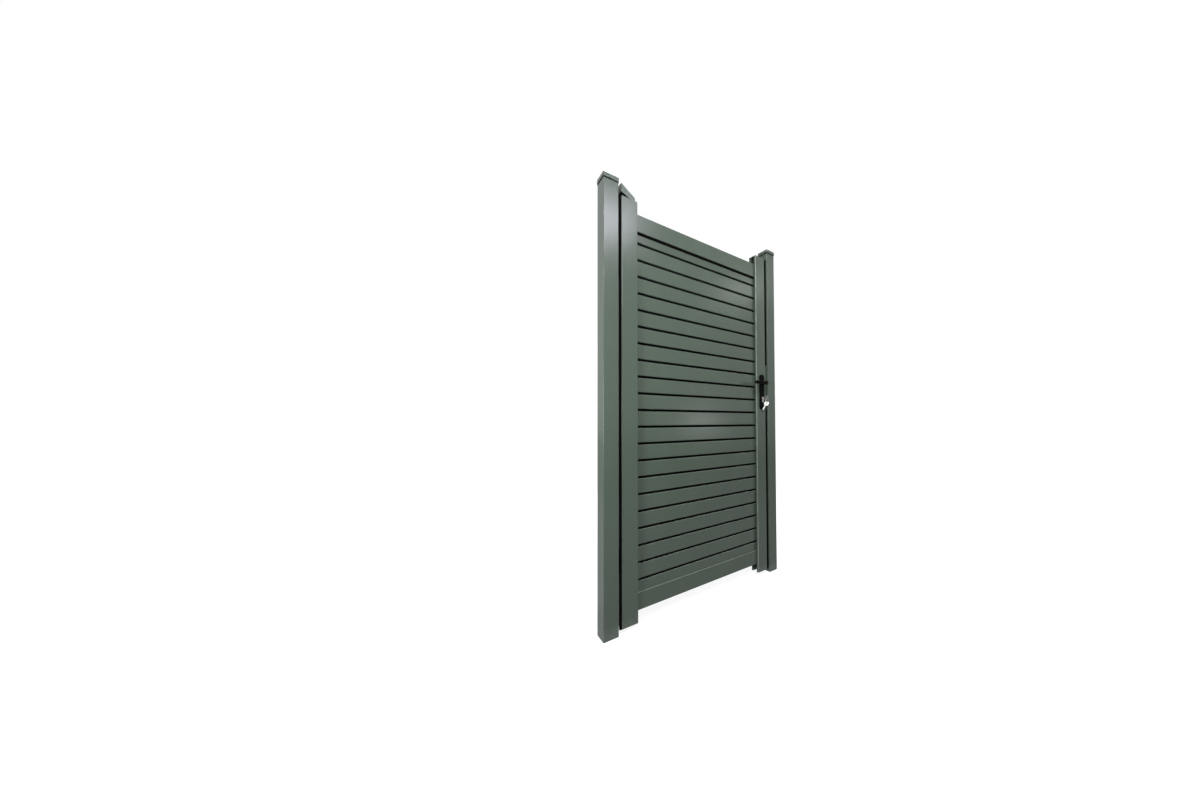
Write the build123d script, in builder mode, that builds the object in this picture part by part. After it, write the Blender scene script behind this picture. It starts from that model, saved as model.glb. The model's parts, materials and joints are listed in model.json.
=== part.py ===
from build123d import *
import os
from math import cos, radians, sin

# Pedestrian gate of horizontal aluminium slats, hung between two square posts.
# Millimetres. X runs from the hinge post to the latch post, the front faces -Y and Z is up.
# The origin is the centre of the hinge post's foot.

# Posts and their caps
post_width = 65
post_wall = 3
post_foot = 5
post_length = 1877
post_corner = 2
cap_wall = 2
cap_top = 3
cap_skirt = 14
cap_play = 0.25
cap_edge = 1.2

# The leaf and where it hangs
leaf_width = 910
hinge_gap = 17
latch_gap = 14
ground_gap = 18

# Stiles: a hollow section with a groove along its inner side
stile_width = 76
stile_depth = 50
stile_wall = 2.5
stile_corner = 3
groove_depth = 25
groove_play = 0.25
stile_cap_thickness = 2

# Rails: hollow, grooved for the slats, their ends in the stiles' grooves
rail_height = 75
rail_depth = 25
rail_wall = 2.5
rail_corner = 1.2
rail_inset = 45

# Slats
slat_count = 22
slat_height = 63
slat_depth = 16
slat_gap = 10
slat_wall = 1.5
slat_corner = 2
slat_entry = 17
slat_play = 0.25
tongue_width = 3
tongue_entry = 6

# The hinge stile's wedge-shaped end cap, which stands askew
wedge_length = 65
wedge_depth = 46
wedge_land = 20
wedge_lift = 19
wedge_outer_height = 36
wedge_inner_height = 14
wedge_wall = 3
wedge_plug_length = 12
wedge_plug_reach = 24
wedge_plug_play = 1.5

# Butt hinges in the hinge gap, with their barrels behind the posts
hinge_height = 100
hinge_inset = 260
hinge_plate = 3
hinge_plate_reach = 45
hinge_barrel_radius = 7.5
hinge_pin_radius = 3
hinge_pin_play = 0.05
hinge_set_back = 7
hinge_knuckle_gap = 0.5
hinge_edge_gap = 9

# Lever handles and their backplates
handle_edge_distance = 35
lever_above_ground = 1086
plate_length = 202
plate_width = 36
plate_thickness = 8
plate_edge = 2.5
plate_above_lever = 52
collar_radius = 13
collar_height = 2
neck_radius = 9
neck_play = 0.05
neck_seat = 6
neck_reach = 26
lever_length = 95
lever_height = 19
lever_thickness = 12
lever_edge = 3
spindle_width = 8
spindle_play = 0.1
spindle_socket = 14
spindle_hole_radius = 8

# Profile cylinder, its turning plug and the key in it
cylinder_below_lever = 85
cylinder_radius = 8.5
cylinder_web = 10
cylinder_drop = 19.5
cylinder_proud = 3
cylinder_play = 0.2
plug_radius = 6.5
plug_play = 0.05
plug_length = 16
plug_end_gap = 0.3
keyway_width = 2.6
keyway_height = 9
keyway_depth = 13
key_thickness = 2.2
key_blade_height = 8.6
key_play = 0.2
key_neck = 12
bow_width = 24
bow_corner = 7.5
bow_end_rim = 3
bow_hole_radius = 3.75

# Ring and spare key that hang from the key
ring_radius = 11
ring_wire = 1.8
ring_play = 0.5
spare_blade_length = 28
spare_notch = 1.6
spare_notch_count = 5
spare_notch_pitch = 3.6
spare_first_notch = 6
spare_play = 0.8
spare_twist = -60
spare_tilt = -30

# Lock forend in the latch stile's edge and the keeper on the latch post
forend_length = 235
forend_width = 22
forend_thickness = 2.5
forend_play = 0.2
bolt_groove_depth = 0.8
bolt_groove_width = 1
latch_nose_height = 26
dead_bolt_height = 34
bolt_width = 11
keeper_length = 247
keeper_depth = 40
keeper_clearance = 5
keeper_above_lever = 107
keeper_mouth_play = 4
keeper_edge = 1.5

# Places worked out from the driving dimensions
post_half = post_width / 2
leaf_start = post_half + hinge_gap
leaf_end = leaf_start + leaf_width
post_spacing = leaf_end + latch_gap + post_half
slat_pitch = slat_height + slat_gap
slat_stack = slat_count * slat_pitch - slat_gap
stile_length = slat_stack + 2 * (rail_height - slat_entry + rail_inset)
stile_top = ground_gap + stile_length
groove_width = rail_depth + 2 * groove_play
infill_length = leaf_width - 2 * (stile_width - groove_depth)
infill_start = leaf_start + stile_width - groove_depth
front_face = -stile_depth / 2
bottom_rail_start = ground_gap + rail_inset
top_rail_start = stile_top - rail_inset - rail_height
first_slat_start = bottom_rail_start + rail_height - slat_entry

os.makedirs("parts", exist_ok=True)


def save(part, name):
    """Label a finished piece and write it under its own name."""
    part.label = name
    export_step(part, f"parts/{name}.step")


# Posts: square tubes, closed at the foot
for name, centre_x in (("hinge", 0), ("latch", post_spacing)):
    with BuildPart() as post:
        with BuildSketch():
            with Locations((centre_x, 0)):
                RectangleRounded(post_width, post_width, post_corner)
        extrude(amount=post_length)
        with BuildSketch(Plane.XY.offset(post_foot)):
            with Locations((centre_x, 0)):
                Rectangle(post_width - 2 * post_wall, post_width - 2 * post_wall)
        extrude(amount=post_length - post_foot, mode=Mode.SUBTRACT)
    save(post.part, f"{name}_post")

    cap_inside = post_width + 2 * cap_play
    with BuildPart() as cap:
        with BuildSketch(Plane.XY.offset(post_length - cap_skirt)):
            with Locations((centre_x, 0)):
                RectangleRounded(cap_inside + 2 * cap_wall, cap_inside + 2 * cap_wall, post_corner + cap_wall)
        extrude(amount=cap_skirt + cap_top)
        chamfer(cap.edges().group_by(Axis.Z)[-1], cap_edge)
        with BuildSketch(Plane.XY.offset(post_length - cap_skirt)):
            with Locations((centre_x, 0)):
                Rectangle(cap_inside, cap_inside)
        extrude(amount=cap_skirt, mode=Mode.SUBTRACT)
    save(cap.part, f"{name}_post_cap")


def stile_section(centre_x, inward):
    """Draw a stile's section: three chambers round a groove on the side that faces inward."""
    groove_centre = centre_x + inward * (stile_width - groove_depth) / 2
    chamber_length = stile_width - groove_depth - 2 * stile_wall
    chamber_centre = centre_x - inward * (stile_width / 2 - stile_wall - chamber_length / 2)
    leg_depth = (stile_depth - groove_width) / 2
    with Locations((centre_x, 0)):
        RectangleRounded(stile_width, stile_depth, stile_corner)
    with Locations((groove_centre, 0)):
        Rectangle(groove_depth, groove_width, mode=Mode.SUBTRACT)
    with Locations((chamber_centre, 0)):
        Rectangle(chamber_length, stile_depth - 2 * stile_wall, mode=Mode.SUBTRACT)
    with Locations((groove_centre - inward * stile_wall / 2, 0)):
        with GridLocations(0, stile_depth - leg_depth, 1, 2):
            Rectangle(groove_depth - stile_wall, leg_depth - 2 * stile_wall, mode=Mode.SUBTRACT)


# Hinge stile
hinge_stile_x = leaf_start + stile_width / 2
with BuildPart() as hinge_stile:
    with BuildSketch(Plane.XY.offset(ground_gap)):
        stile_section(hinge_stile_x, 1)
    extrude(amount=stile_length)
save(hinge_stile.part, "hinge_stile")

# Latch stile, cut out for the lock
latch_stile_x = leaf_end - stile_width / 2
lock_x = leaf_end - handle_edge_distance
cylinder_z = lever_above_ground - cylinder_below_lever
forend_z = (lever_above_ground + cylinder_z) / 2
lock_front = Plane(origin=(lock_x, front_face, 0), x_dir=(1, 0, 0), z_dir=(0, -1, 0))
lock_rear = Plane(origin=(lock_x, -front_face, 0), x_dir=(-1, 0, 0), z_dir=(0, 1, 0))


def cylinder_section(play):
    """Draw the profile cylinder's outline, larger all round by the play."""
    with Locations((0, cylinder_z)):
        Circle(cylinder_radius + play)
    with Locations((0, cylinder_z - cylinder_drop / 2)):
        Rectangle(cylinder_web + 2 * play, cylinder_drop)
    with Locations((0, cylinder_z - cylinder_drop)):
        Circle(cylinder_web / 2 + play)


with BuildPart() as latch_stile:
    with BuildSketch(Plane.XY.offset(ground_gap)):
        stile_section(latch_stile_x, -1)
    extrude(amount=stile_length)
    with BuildSketch(lock_front):
        with Locations((0, lever_above_ground)):
            Circle(spindle_hole_radius)
        cylinder_section(cylinder_play)
    extrude(amount=-stile_depth, mode=Mode.SUBTRACT)
    with BuildSketch(Plane.YZ.offset(leaf_end)):
        with Locations((0, forend_z)):
            SlotOverall(forend_length + 2 * forend_play, forend_width + 2 * forend_play, rotation=90)
    extrude(amount=-stile_wall, mode=Mode.SUBTRACT)
save(latch_stile.part, "latch_stile")

# Flat end plate on top of the latch stile
with BuildPart() as latch_stile_cap:
    with BuildSketch(Plane.XY.offset(stile_top)):
        with Locations((latch_stile_x, 0)):
            RectangleRounded(stile_width, stile_depth, stile_corner)
    extrude(amount=stile_cap_thickness)
save(latch_stile_cap.part, "latch_stile_cap")

# Wedge-shaped end cap on the hinge stile: hollow, bearing on its inner land and lifted at the post
wedge_end = leaf_start + wedge_length
wedge_slope_start = wedge_end - wedge_land
plug_end = leaf_start + stile_width - groove_depth - stile_wall - wedge_plug_play
plug_depth = stile_depth - 2 * stile_wall - 2 * wedge_plug_play
with BuildPart() as hinge_stile_cap:
    with BuildSketch(Plane.XZ.offset(-wedge_depth / 2)):
        with BuildLine():
            Polyline(
                (leaf_start, stile_top + wedge_lift),
                (wedge_slope_start, stile_top),
                (wedge_end, stile_top),
                (wedge_end, stile_top + wedge_inner_height),
                (leaf_start, stile_top + wedge_lift + wedge_outer_height),
                close=True,
            )
        make_face()
    extrude(amount=wedge_depth)
    with BuildSketch(Plane.XZ.offset(wedge_wall - wedge_depth / 2)):
        with BuildLine():
            Polyline(
                (leaf_start + wedge_wall, stile_top),
                (wedge_end - wedge_wall, stile_top),
                (wedge_end - wedge_wall, stile_top + wedge_inner_height - wedge_wall),
                (leaf_start + wedge_wall, stile_top + wedge_lift + wedge_outer_height - 2 * wedge_wall),
                close=True,
            )
        make_face()
    extrude(amount=wedge_depth - 2 * wedge_wall, mode=Mode.SUBTRACT)
    with BuildSketch(Plane.XY.offset(stile_top - wedge_plug_reach)):
        with Locations((plug_end - wedge_plug_length / 2, 0)):
            Rectangle(wedge_plug_length, plug_depth)
    extrude(amount=wedge_plug_reach + wedge_inner_height)
save(hinge_stile_cap.part, "hinge_stile_cap")


def rail_section(groove_side):
    """Draw a rail's section about its middle, with its slat groove up (1) or down (-1)."""
    chamber_height = rail_height - slat_entry - 2 * rail_wall
    chamber_y = -groove_side * (rail_height / 2 - rail_wall - chamber_height / 2)
    RectangleRounded(rail_depth, rail_height, rail_corner)
    with Locations((0, groove_side * (rail_height - slat_entry) / 2)):
        Rectangle(slat_depth + 2 * slat_play, slat_entry, mode=Mode.SUBTRACT)
    with Locations((0, chamber_y)):
        Rectangle(rail_depth - 2 * rail_wall, chamber_height, mode=Mode.SUBTRACT)


# Top and bottom rails
for name, start_z, groove_side in (("top", top_rail_start, -1), ("bottom", bottom_rail_start, 1)):
    rail_end = Plane.YZ.offset(infill_start).shift_origin((infill_start, 0, start_z + rail_height / 2))
    with BuildPart() as rail:
        with BuildSketch(rail_end):
            rail_section(groove_side)
        extrude(amount=infill_length)
    save(rail.part, f"{name}_rail")


def slat_section(tongue_length):
    """Draw a slat's hollow section about its middle: a groove along its top and any tongue along its foot."""
    groove = tongue_width + 2 * slat_play
    groove_reach = tongue_entry + slat_play
    housing_reach = groove_reach + slat_wall
    outline = Rectangle(slat_depth, slat_height)
    chamfer(outline.vertices(), slat_corner)
    Rectangle(slat_depth - 2 * slat_wall, slat_height - 2 * slat_wall, mode=Mode.SUBTRACT)
    with Locations((0, (slat_height - housing_reach) / 2)):
        Rectangle(groove + 2 * slat_wall, housing_reach)
    with Locations((0, (slat_height - groove_reach) / 2)):
        Rectangle(groove, groove_reach, mode=Mode.SUBTRACT)
    if tongue_length:
        with Locations((0, (slat_wall - slat_height - tongue_length) / 2)):
            Rectangle(tongue_width, tongue_length + slat_wall)


# Slats, numbered from the top; each closes the gap below it with a tongue, which the lowest one lacks
for number in range(1, slat_count + 1):
    slat_z = first_slat_start + (slat_count - number) * slat_pitch + slat_height / 2
    slat_end = Plane.YZ.offset(infill_start).shift_origin((infill_start, 0, slat_z))
    with BuildPart() as slat:
        with BuildSketch(slat_end):
            slat_section(slat_gap + tongue_entry if number < slat_count else 0)
        extrude(amount=infill_length)
    save(slat.part, f"slat_{number:02d}")

# Butt hinges: the post's leaf holds the pin and the two outer knuckles, the gate's leaf the middle one
hinge_x = post_half + hinge_gap / 2
hinge_y = post_half + hinge_set_back
hinge_plate_end = hinge_y - hinge_edge_gap
hinge_plate_y = hinge_plate_end - hinge_plate_reach / 2
post_plate_x = post_half + hinge_plate / 2
gate_plate_x = leaf_start - hinge_plate / 2
middle_knuckle = (hinge_height - 2 * hinge_knuckle_gap) / 3
outer_knuckle = (hinge_height - middle_knuckle - 2 * hinge_knuckle_gap) / 2


def hinge_plate_section(plate_x):
    """Draw the section of a hinge leaf's plate."""
    with Locations((plate_x, hinge_plate_y)):
        Rectangle(hinge_plate, hinge_plate_reach)


def knuckle_section(plate_x):
    """Draw a knuckle's section with the tab that joins it to its plate."""
    with Locations((hinge_x, hinge_y)):
        Circle(hinge_barrel_radius)
    with Locations((plate_x, hinge_y - hinge_edge_gap / 2)):
        Rectangle(hinge_plate, hinge_edge_gap)


for name, hinge_z in (("upper", stile_top - hinge_inset), ("lower", ground_gap + hinge_inset)):
    hinge_base = hinge_z - hinge_height / 2
    with BuildPart() as post_leaf:
        with BuildSketch(Plane.XY.offset(hinge_base)):
            hinge_plate_section(post_plate_x)
        extrude(amount=hinge_height)
        for knuckle_base in (hinge_base, hinge_base + hinge_height - outer_knuckle):
            with BuildSketch(Plane.XY.offset(knuckle_base)):
                knuckle_section(post_plate_x)
            extrude(amount=outer_knuckle)
        with BuildSketch(Plane.XY.offset(hinge_base)):
            with Locations((hinge_x, hinge_y)):
                Circle(hinge_pin_radius)
        extrude(amount=hinge_height)
    save(post_leaf.part, f"{name}_hinge_post_leaf")

    with BuildPart() as gate_leaf:
        with BuildSketch(Plane.XY.offset(hinge_base)):
            hinge_plate_section(gate_plate_x)
        extrude(amount=hinge_height)
        with BuildSketch(Plane.XY.offset(hinge_base + outer_knuckle + hinge_knuckle_gap)):
            knuckle_section(gate_plate_x)
        extrude(amount=middle_knuckle)
        with BuildSketch(Plane.XY.offset(hinge_base)):
            with Locations((hinge_x, hinge_y)):
                Circle(hinge_pin_radius + hinge_pin_play)
        extrude(amount=hinge_height, mode=Mode.SUBTRACT)
    save(gate_leaf.part, f"{name}_hinge_gate_leaf")

# Backplates of the lever handles, bored for the lever's neck and cut for the cylinder
plate_z = lever_above_ground + plate_above_lever - plate_length / 2
for name, lock_face in (("front", lock_front), ("rear", lock_rear)):
    with BuildPart() as backplate:
        with BuildSketch(lock_face):
            with Locations((0, plate_z)):
                SlotOverall(plate_length, plate_width, rotation=90)
        extrude(amount=plate_thickness)
        chamfer(backplate.faces().sort_by(Axis(lock_face.origin, lock_face.z_dir))[-1].edges(), plate_edge)
        with BuildSketch(lock_face):
            with Locations((0, lever_above_ground)):
                Circle(collar_radius)
        extrude(amount=plate_thickness + collar_height)
        with BuildSketch(lock_face):
            with Locations((0, lever_above_ground)):
                Circle(neck_radius + neck_play)
            cylinder_section(cylinder_play)
        extrude(amount=plate_thickness + collar_height, mode=Mode.SUBTRACT)
    save(backplate.part, f"{name}_handle_plate")

# Lever handles: a neck in the backplate's bore and an arm that points away from the latch post
neck_start = plate_thickness - neck_seat
arm_start = plate_thickness + neck_reach
for name, lock_face, arm_side in (("front", lock_front, -1), ("rear", lock_rear, 1)):
    with BuildPart() as lever:
        with BuildSketch(lock_face.offset(arm_start)):
            with Locations((arm_side * (lever_length - lever_height / 2) / 2, lever_above_ground)):
                SlotOverall(lever_length + lever_height / 2, lever_height)
        extrude(amount=lever_thickness)
        chamfer(lever.edges().filter_by(Axis.Y, reverse=True), lever_edge)
        with BuildSketch(lock_face.offset(neck_start)):
            with Locations((0, lever_above_ground)):
                Circle(neck_radius)
        extrude(amount=arm_start + lever_edge - neck_start)
        if name == "front":
            with BuildSketch(lock_face.offset(neck_start)):
                with Locations((0, lever_above_ground)):
                    Rectangle(spindle_width, spindle_width)
            extrude(amount=-(stile_depth + 2 * neck_start + spindle_socket - spindle_play))
        else:
            with BuildSketch(lock_face.offset(neck_start)):
                with Locations((0, lever_above_ground)):
                    Rectangle(spindle_width + 2 * spindle_play, spindle_width + 2 * spindle_play)
            extrude(amount=spindle_socket, mode=Mode.SUBTRACT)
    save(lever.part, f"{name}_lever")

# Profile cylinder through the stile and both backplates
cylinder_reach = plate_thickness + cylinder_proud
cylinder_length = stile_depth + 2 * cylinder_reach
with BuildPart() as lock_cylinder:
    with BuildSketch(lock_front.offset(cylinder_reach)):
        cylinder_section(0)
    extrude(amount=-cylinder_length)
    with BuildSketch(lock_front.offset(cylinder_reach)):
        with Locations((0, cylinder_z)):
            Circle(plug_radius + plug_play)
    extrude(amount=-plug_length - plug_end_gap, mode=Mode.SUBTRACT)
    with BuildSketch(lock_rear.offset(cylinder_reach)):
        with Locations((0, cylinder_z)):
            Rectangle(keyway_width, keyway_height)
    extrude(amount=-keyway_depth, mode=Mode.SUBTRACT)
save(lock_cylinder.part, "lock_cylinder")

# The plug turns in the cylinder with the key
with BuildPart() as lock_plug:
    with BuildSketch(lock_front.offset(cylinder_reach)):
        with Locations((0, cylinder_z)):
            Circle(plug_radius)
    extrude(amount=-plug_length)
    with BuildSketch(lock_front.offset(cylinder_reach)):
        with Locations((0, cylinder_z)):
            Rectangle(keyway_width, keyway_height)
    extrude(amount=-keyway_depth, mode=Mode.SUBTRACT)
save(lock_plug.part, "lock_plug")

# Key: its flat stands upright, edge on to the front
cylinder_front = front_face - cylinder_reach
bow_y = cylinder_front - key_neck - bow_width / 2
bow_hole_offset = bow_width / 2 - bow_end_rim - bow_hole_radius
bow_hole_y = bow_y - bow_hole_offset
key_tip_y = cylinder_front + keyway_depth - key_play
key_flat = Plane(origin=(lock_x - key_thickness / 2, 0, cylinder_z), x_dir=(0, 1, 0), z_dir=(1, 0, 0))
with BuildPart() as key:
    with BuildSketch(key_flat):
        with Locations((bow_y, 0)):
            RectangleRounded(bow_width, bow_width, bow_corner)
        with Locations(((bow_y + key_tip_y) / 2, 0)):
            Rectangle(key_tip_y - bow_y, key_blade_height)
        with Locations((bow_hole_y, 0)):
            Circle(bow_hole_radius, mode=Mode.SUBTRACT)
    extrude(amount=key_thickness)
save(key.part, "key")

# Ring through the key's bow; it hangs from the bow's edge below the hole
ring_inside = ring_radius - ring_wire / 2
ring_z = cylinder_z - bow_hole_radius + ring_play - ring_inside
ring_face = Plane(origin=(lock_x, bow_hole_y - ring_wire / 2, ring_z), x_dir=(1, 0, 0), z_dir=(0, 1, 0))
with BuildPart() as key_ring:
    with BuildSketch(ring_face):
        Circle(ring_inside + ring_wire)
        Circle(ring_inside, mode=Mode.SUBTRACT)
    extrude(amount=ring_wire)
save(key_ring.part, "key_ring")

# Spare key of the same cut, turned and leaning as it hangs on the ring
hang_point = (lock_x, bow_hole_y, ring_z - ring_radius)
twist = radians(spare_twist)
tilt = radians(spare_tilt)
spare_across = (cos(twist) * cos(tilt), sin(twist) * cos(tilt), sin(tilt))
spare_flat = Plane(origin=hang_point, x_dir=spare_across, z_dir=(sin(twist), -cos(twist), 0))
spare_hole_y = ring_wire / 2 + spare_play - bow_hole_radius
spare_bow_y = spare_hole_y - bow_hole_offset
spare_tip_y = spare_bow_y - bow_width / 2 - spare_blade_length
with BuildPart() as spare_key:
    with BuildSketch(spare_flat.offset(-key_thickness / 2)):
        with Locations((0, spare_bow_y)):
            RectangleRounded(bow_width, bow_width, bow_corner)
        with Locations((0, (spare_bow_y + spare_tip_y) / 2)):
            Rectangle(key_blade_height, spare_bow_y - spare_tip_y)
        for notch in range(spare_notch_count):
            notch_y = spare_tip_y + spare_first_notch + notch * spare_notch_pitch
            with Locations((key_blade_height / 2, notch_y)):
                Rectangle(2 * spare_notch, 2 * spare_notch, rotation=45, mode=Mode.SUBTRACT)
        with Locations((0, spare_hole_y)):
            Circle(bow_hole_radius, mode=Mode.SUBTRACT)
    extrude(amount=key_thickness)
save(spare_key.part, "spare_key")

# Lock forend, let into the latch stile's edge, with the outlines of the two drawn-back bolts
with BuildPart() as lock_forend:
    with BuildSketch(Plane.YZ.offset(leaf_end)):
        with Locations((0, forend_z)):
            SlotOverall(forend_length, forend_width, rotation=90)
    extrude(amount=-forend_thickness)
    with BuildSketch(Plane.YZ.offset(leaf_end)):
        for bolt_z, bolt_height in ((lever_above_ground, latch_nose_height), (cylinder_z, dead_bolt_height)):
            with Locations((0, bolt_z)):
                Rectangle(bolt_width + 2 * bolt_groove_width, bolt_height + 2 * bolt_groove_width)
                Rectangle(bolt_width, bolt_height, mode=Mode.SUBTRACT)
    extrude(amount=-bolt_groove_depth, mode=Mode.SUBTRACT)
save(lock_forend.part, "lock_forend")

# Keeper box on the latch post, with a mouth for each bolt
keeper_thickness = latch_gap - keeper_clearance
keeper_z = lever_above_ground + keeper_above_lever - keeper_length / 2
keeper_face = Plane.YZ.offset(leaf_end + keeper_clearance)
with BuildPart() as latch_keeper:
    with BuildSketch(keeper_face):
        with Locations((0, keeper_z)):
            Rectangle(keeper_depth, keeper_length)
    extrude(amount=keeper_thickness)
    chamfer(latch_keeper.faces().sort_by(Axis.X)[0].edges(), keeper_edge)
    with BuildSketch(keeper_face):
        for bolt_z, bolt_height in ((lever_above_ground, latch_nose_height), (cylinder_z, dead_bolt_height)):
            with Locations((0, bolt_z)):
                Rectangle(bolt_width + 2 * keeper_mouth_play, bolt_height + 2 * keeper_mouth_play)
    extrude(amount=keeper_thickness, mode=Mode.SUBTRACT)
save(latch_keeper.part, "latch_keeper")
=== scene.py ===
"""Looks of a slatted pedestrian gate between two posts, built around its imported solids."""
import json
import logging
import math
import random
from collections.abc import Callable, Mapping, Sequence
from dataclasses import dataclass, replace
from enum import Enum

import bmesh
import bpy
from mathutils import Matrix, Vector


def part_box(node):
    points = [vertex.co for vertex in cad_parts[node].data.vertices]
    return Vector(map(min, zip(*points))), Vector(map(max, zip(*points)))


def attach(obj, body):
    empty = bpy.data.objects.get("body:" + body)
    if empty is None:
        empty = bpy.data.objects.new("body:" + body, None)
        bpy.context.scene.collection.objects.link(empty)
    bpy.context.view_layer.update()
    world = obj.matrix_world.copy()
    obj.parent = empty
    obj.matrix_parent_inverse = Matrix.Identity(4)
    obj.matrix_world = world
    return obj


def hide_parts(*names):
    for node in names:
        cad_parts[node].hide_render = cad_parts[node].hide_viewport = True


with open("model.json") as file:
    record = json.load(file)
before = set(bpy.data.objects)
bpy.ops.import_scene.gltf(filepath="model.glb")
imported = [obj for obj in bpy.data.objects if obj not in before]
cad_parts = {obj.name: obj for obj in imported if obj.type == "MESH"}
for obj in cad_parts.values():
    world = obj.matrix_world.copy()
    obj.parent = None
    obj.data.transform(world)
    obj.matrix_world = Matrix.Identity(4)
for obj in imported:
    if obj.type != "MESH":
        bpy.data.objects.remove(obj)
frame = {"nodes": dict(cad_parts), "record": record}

log = logging.getLogger("gate")

MM = 0.001
TOUCH = 1e-6
Colour = tuple[float, float, float]
Point = tuple[float, float, float]


class Body(Enum):
    """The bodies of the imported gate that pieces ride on."""

    POSTS = "posts"
    LEAF = "gate_leaf"
    LEVERS = "lever_pair"
    KEY = "lock_key"
    HANGING = "hanging_keys"


class Slot(Enum):
    """The record's material slots."""

    COAT = "powder_coat"
    BLACK = "black_furniture"
    NICKEL = "nickel"
    HINGE = "hinge_steel"
    LOCK = "lock_steel"


class Lie(Enum):
    """Which way a rod lies, as the turn that lays an upright one along that axis."""

    X = (0.0, math.pi / 2, 0.0)
    Y = (math.pi / 2, 0.0, 0.0)
    Z = (0.0, 0.0, 0.0)


class Facing(Enum):
    """Which way a screw head faces, as its turn about the upright axis from the front."""

    FRONT = 0.0
    REAR = math.pi
    LATCH_SIDE = math.pi / 2
    HINGE_SIDE = -math.pi / 2


class Signal:
    """A shader value that adds Math nodes when it is used in an expression."""

    def __init__(self, graph: "FinishGraph", socket: bpy.types.NodeSocket) -> None:
        """Hold a graph and one of its output sockets."""
        self.graph = graph
        self.socket = socket

    def _math(self, operation: str, first: "Signal | float", second: "Signal | float") -> "Signal":
        """Return the result of one Math node."""
        node = self.graph.add("ShaderNodeMath", {"operation": operation}, {0: first, 1: second})
        return self.graph.out(node, 0)

    def __add__(self, other: "Signal | float") -> "Signal":
        """Return the sum."""
        return self._math("ADD", self, other)

    def __radd__(self, other: float) -> "Signal":
        """Return the sum."""
        return self._math("ADD", other, self)

    def __sub__(self, other: "Signal | float") -> "Signal":
        """Return the difference."""
        return self._math("SUBTRACT", self, other)

    def __rsub__(self, other: float) -> "Signal":
        """Return the difference, taken the other way round."""
        return self._math("SUBTRACT", other, self)

    def __mul__(self, other: "Signal | float") -> "Signal":
        """Return the product."""
        return self._math("MULTIPLY", self, other)

    def __rmul__(self, other: float) -> "Signal":
        """Return the product."""
        return self._math("MULTIPLY", other, self)

    def larger(self, other: "Signal | float") -> "Signal":
        """Return the larger of two values."""
        return self._math("MAXIMUM", self, other)


class FinishGraph:
    """A node tree that is written as expressions."""

    def __init__(self, owner: bpy.types.Material | bpy.types.World) -> None:
        """Empty the owner's node tree."""
        owner.use_nodes = True
        self.owner = owner
        self.tree = owner.node_tree
        self.tree.nodes.clear()

    def add(self, kind: str, settings: Mapping[str, object] | None = None,
            sockets: Mapping[str | int, object] | None = None) -> bpy.types.Node:
        """Add a node of any type.

        Args:
            kind: The node's type.
            settings: Its own settings, set first.
            sockets: Values, signals or sockets for its inputs, by name or number.

        Returns:
            The new node.
        """
        node = self.tree.nodes.new(kind)
        for key, value in (settings or {}).items():
            setattr(node, key, value)
        for key, value in (sockets or {}).items():
            if isinstance(value, Signal):
                value = value.socket
            if isinstance(value, bpy.types.NodeSocket):
                self.tree.links.new(value, node.inputs[key])
            else:
                node.inputs[key].default_value = value
        return node

    def out(self, node: bpy.types.Node, output: str | int) -> Signal:
        """Return one of a node's outputs as a signal."""
        return Signal(self, node.outputs[output])

    def place(self, stretch: Point = (1, 1, 1)) -> bpy.types.NodeSocket:
        """Return Object coordinates, stretched along each axis."""
        source = self.add("ShaderNodeTexCoord")
        mapping = self.add("ShaderNodeMapping", sockets={"Vector": source.outputs["Object"], "Scale": stretch})
        return mapping.outputs["Vector"]

    def noise(self, scale: float, detail: float = 2.0, stretch: Point = (1, 1, 1)) -> Signal:
        """Return smooth noise from 0 to 1, with its scale per metre."""
        node = self.add("ShaderNodeTexNoise",
                        sockets={"Vector": self.place(stretch), "Scale": scale, "Detail": detail})
        return self.out(node, 0)

    def ramp(self, value: Signal, low: float, high: float) -> Signal:
        """Return a value spread from 0 at low to 1 at high."""
        node = self.add("ShaderNodeMapRange", {"clamp": True}, {0: value, 1: low, 2: high})
        return self.out(node, 0)

    def blend(self, factor: Signal, first: object, second: object) -> bpy.types.NodeSocket:
        """Return a colour between two colours."""
        node = self.add("ShaderNodeMix", {"data_type": "RGBA"}, {0: factor, 6: first, 7: second})
        return node.outputs[2]

    def bump(self, height: Signal, depth: float, strength: float = 1.0) -> bpy.types.NodeSocket:
        """Return a normal that follows a height, in metres."""
        node = self.add("ShaderNodeBump", sockets={"Height": height, "Distance": depth, "Strength": strength})
        return node.outputs["Normal"]

    def principled(self, sockets: Mapping[str, object]) -> None:
        """Close the graph with a Principled shader."""
        shader = self.add("ShaderNodeBsdfPrincipled", sockets=sockets)
        self.close(shader.outputs[0])

    def close(self, surface: bpy.types.NodeSocket) -> None:
        """Close the graph with any surface."""
        kind = "ShaderNodeOutputWorld" if isinstance(self.owner, bpy.types.World) else "ShaderNodeOutputMaterial"
        self.add(kind, sockets={"Surface": surface})


def solid(colour: Colour, factor: float = 1.0) -> tuple[float, float, float, float]:
    """Return a colour times a factor, with its alpha."""
    return (colour[0] * factor, colour[1] * factor, colour[2] * factor, 1.0)


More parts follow.
